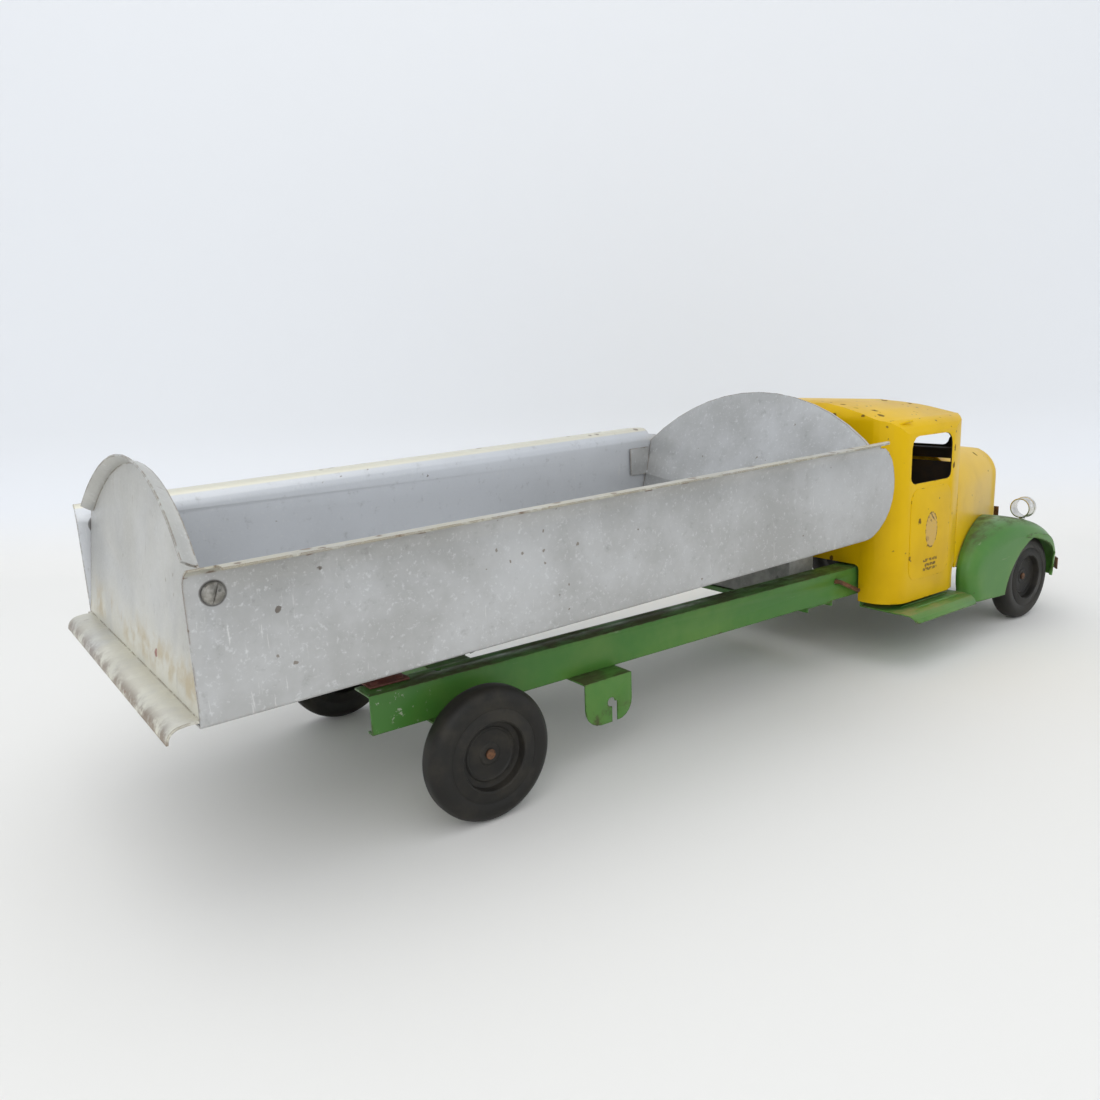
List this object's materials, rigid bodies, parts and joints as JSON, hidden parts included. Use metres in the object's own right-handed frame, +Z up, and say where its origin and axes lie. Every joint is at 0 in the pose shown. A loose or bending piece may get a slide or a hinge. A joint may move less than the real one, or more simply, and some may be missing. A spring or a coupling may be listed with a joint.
{
  "type": "push along truck",
  "caption": "Long pressed-steel push-along tipper truck with a cab, a hinged load bed and a hung tailgate.",
  "frame": {"origin": "bottom centre of the truck's bounding box, on the ground between the wheels", "axes": "+X forward towards the bumper, +Y to the truck's left, +Z up"},
  "size_m": [0.7389, 0.2476, 0.1968],
  "materials": {
    "green_paint": "worn gloss, chipped and rusty at the edges",
    "yellow_paint": "worn gloss with rust specks",
    "silver_paint": "mottled aluminium paint, scratched",
    "grey_paint": "satin",
    "grey_steel": "dull",
    "rusty_steel": "rusty",
    "red_primer": "dull red primer",
    "chrome": "plated, slightly pitted",
    "black_rubber": "aged, slightly polished"
  },
  "bodies": {
    "chassis": {"axle_hanger_front_left": "green_paint", "axle_hanger_front_right": "green_paint", "axle_hanger_middle_left": "green_paint", "axle_hanger_middle_right": "green_paint", "axle_hanger_rear_left": "green_paint", "axle_hanger_rear_right": "green_paint", "bed_hinge_rod": "rusty_steel", "bed_rest": "grey_paint", "bumper": "rusty_steel", "bumper_arm_left": "green_paint", "bumper_arm_right": "green_paint", "cab_floor": "green_paint", "cab_shell": "yellow_paint", "cab_tie_rod": "rusty_steel", "cross_member_front": "green_paint", "cross_member_rear": "green_paint", "frame_rail_left": "green_paint", "frame_rail_right": "green_paint", "front_axle": "rusty_steel", "front_fender_left": "green_paint", "front_fender_right": "green_paint", "grille": "chrome", "headlight_left": "chrome", "headlight_post_left": "chrome", "headlight_post_right": "chrome", "headlight_right": "chrome", "hinge_stand_left": "red_primer", "hinge_stand_right": "red_primer", "hood_shell": "yellow_paint", "nose_tab_left": "rusty_steel", "nose_tab_right": "rusty_steel", "rear_axle": "rusty_steel", "rest_strap": "green_paint", "running_board_left": "green_paint", "running_board_right": "green_paint"},
    "wheel_rear_right": {"wheel_rear_right": "black_rubber"},
    "wheel_rear_left": {"wheel_rear_left": "black_rubber"},
    "wheel_front_right": {"wheel_front_right": "black_rubber"},
    "wheel_front_left": {"wheel_front_left": "black_rubber"},
    "bed": {"bed_pan": "silver_paint", "bed_bulkhead": "silver_paint", "bed_hinge_bracket_left": "silver_paint", "bed_hinge_bracket_right": "silver_paint", "bed_rest_pad": "silver_paint", "tailgate_screw": "grey_steel", "tailgate_nut": "grey_steel"},
    "gate": {"tailgate": "silver_paint"}
  },
  "joints": [
    {"name": "rear_right_wheel_spin", "type": "hinge", "parent": "chassis", "child": "wheel_rear_right", "pos_m": [-0.2175, -0.09085, 0.035], "axis": [0, 1, 0], "continuous": true},
    {"name": "rear_left_wheel_spin", "type": "hinge", "parent": "chassis", "child": "wheel_rear_left", "pos_m": [-0.2175, 0.09085, 0.035], "axis": [0, 1, 0], "continuous": true},
    {"name": "front_right_wheel_spin", "type": "hinge", "parent": "chassis", "child": "wheel_front_right", "pos_m": [0.3085, -0.09085, 0.035], "axis": [0, 1, 0], "continuous": true},
    {"name": "front_left_wheel_spin", "type": "hinge", "parent": "chassis", "child": "wheel_front_left", "pos_m": [0.3085, 0.09085, 0.035], "axis": [0, 1, 0], "continuous": true},
    {"name": "bed_tip", "type": "hinge", "parent": "chassis", "child": "bed", "pos_m": [-0.25231, 0, 0.0851], "axis": [0, -1, 0], "range_deg": [0, 40]},
    {"name": "tailgate_swing", "type": "hinge", "parent": "bed", "child": "gate", "pos_m": [-0.34573, 0, 0.14447], "axis": [0, 1, 0], "range_deg": [0, 75]}
  ]
}
